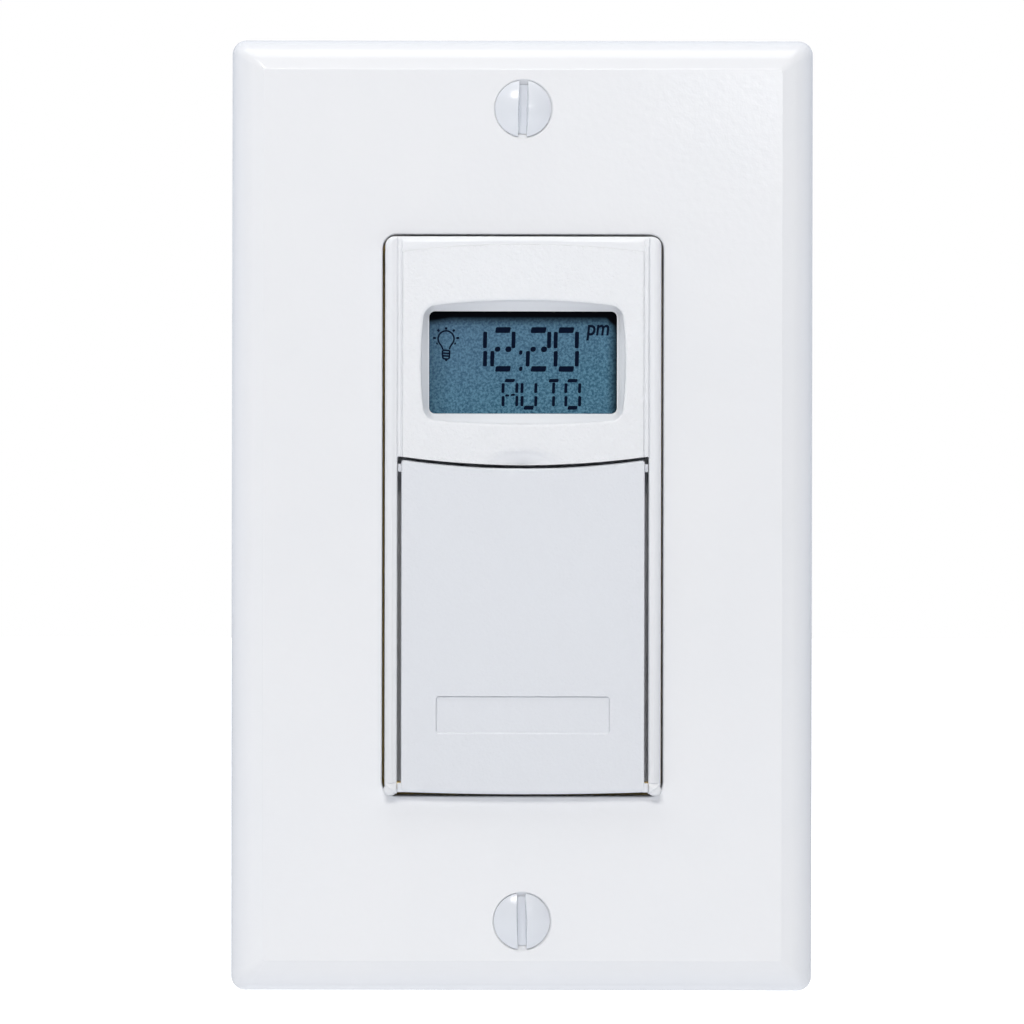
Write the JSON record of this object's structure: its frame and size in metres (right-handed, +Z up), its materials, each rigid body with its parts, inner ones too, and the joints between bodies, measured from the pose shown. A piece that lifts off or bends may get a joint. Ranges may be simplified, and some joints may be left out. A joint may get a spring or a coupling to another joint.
{
  "type": "astronomical timer switch",
  "caption": "In-wall astronomical timer switch: digital display above a hinged key cover, in a white wall plate, with strap, housings, boards, keys and battery tray behind.",
  "frame": {"origin": "midway between the two box screws, in the plane of the wall's surface, which the back rim of the wall plate and the strap's ears lie on", "axes": "+Z up along the wall, +Y into the wall, +X to the right as seen from the front"},
  "size_m": [0.0698, 0.0404, 0.1142],
  "materials": {
    "plate_plastic": "white, glossy with a fine orange peel",
    "insert_plastic": "white, satin",
    "key_plastic": "light grey, satin",
    "screw_paint": "white paint on steel",
    "zinc_steel": "zinc plated",
    "ground_green": "green paint on steel",
    "fibre": "pressed fibre",
    "rear_plastic": "dark grey moulded",
    "black_plastic": "black moulded",
    "lcd_film": "anti-glare polarising film",
    "clear_glass": "clear",
    "clear_plastic": "frosted clear acrylic",
    "led_body": "pale epoxy",
    "elastomer": "layered conductive rubber",
    "board_green": "solder mask",
    "battery_sleeve": "plain printed sleeve",
    "spring_metal": "nickel plated spring steel",
    "relay_plastic": "black case",
    "capacitor_plastic": "yellow case",
    "can_metal": "sleeved can",
    "varistor_coat": "blue epoxy coat",
    "fuse_glass": "ceramic tube",
    "brass": "plain"
  },
  "bodies": {
    "timer": {"wall_plate": "plate_plastic", "plate_screws": "screw_paint", "mounting_strap": "zinc_steel", "box_screws": "zinc_steel", "screw_retainers": "fibre", "ground_screw": "ground_green", "front_housing": "insert_plastic", "housing_screws": "zinc_steel", "rear_housing": "rear_plastic", "switch_bodies": "black_plastic", "lcd_front_film": "lcd_film", "lcd_glass": "clear_glass", "lcd_rear_film": "lcd_film", "light_guide": "clear_plastic", "backlight_leds": "led_body", "lcd_holder": "insert_plastic", "elastomer_strip": "elastomer", "control_board": "board_green", "board_screws": "zinc_steel", "microcontroller": "black_plastic", "crystal": "zinc_steel", "connector_header": "black_plastic", "connector_socket": "black_plastic", "battery": "battery_sleeve", "battery_tray": "key_plastic", "battery_contacts": "spring_metal", "power_board": "board_green", "power_board_screws": "zinc_steel", "relay": "relay_plastic", "film_capacitor": "capacitor_plastic", "filter_capacitor": "can_metal", "varistor": "varistor_coat", "bridge_rectifier": "black_plastic", "fuse": "fuse_glass", "terminal_plates": "brass", "terminal_clamps": "brass", "terminal_screws": "brass"},
    "hinge_pin": {"door_hinge_pin": "zinc_steel"},
    "door": {"access_door": "insert_plastic"},
    "on_off_key": {"on_off_button": "key_plastic", "on_off_plunger": "black_plastic"},
    "mode_key": {"mode_button": "key_plastic", "mode_plunger": "black_plastic"},
    "plus_key": {"plus_button": "key_plastic", "plus_plunger": "black_plastic"},
    "minus_key": {"minus_button": "key_plastic", "minus_plunger": "black_plastic"},
    "reset_key": {"reset_button": "key_plastic", "reset_plunger": "black_plastic"}
  },
  "joints": [
    {"name": "door_press", "type": "hinge", "parent": "timer", "child": "hinge_pin", "pos_m": [0, -0.0061, -0.0321], "axis": [1, 0, 0], "range_deg": [-1.43, 0], "stiffness_Nm_per_rad": 0.15},
    {"name": "door_open", "type": "hinge", "parent": "hinge_pin", "child": "door", "pos_m": [0, -0.0061, -0.0321], "axis": [1, 0, 0], "range_deg": [0, 120]},
    {"name": "on_off_press", "type": "slide", "parent": "timer", "child": "on_off_key", "axis": [0, 1, 0], "range_m": [0, 0.0006], "stiffness_N_per_m": 300},
    {"name": "mode_press", "type": "slide", "parent": "timer", "child": "mode_key", "axis": [0, 1, 0], "range_m": [0, 0.0005], "stiffness_N_per_m": 300},
    {"name": "plus_press", "type": "slide", "parent": "timer", "child": "plus_key", "axis": [0, 1, 0], "range_m": [0, 0.0005], "stiffness_N_per_m": 300},
    {"name": "minus_press", "type": "slide", "parent": "timer", "child": "minus_key", "axis": [0, 1, 0], "range_m": [0, 0.0005], "stiffness_N_per_m": 300},
    {"name": "reset_press", "type": "slide", "parent": "timer", "child": "reset_key", "axis": [0, 1, 0], "range_m": [0, 0.0005], "stiffness_N_per_m": 300}
  ],
  "couplings": [
    {"joint": "on_off_press", "follows": "door_press", "m_per_rad": -0.02404}
  ]
}
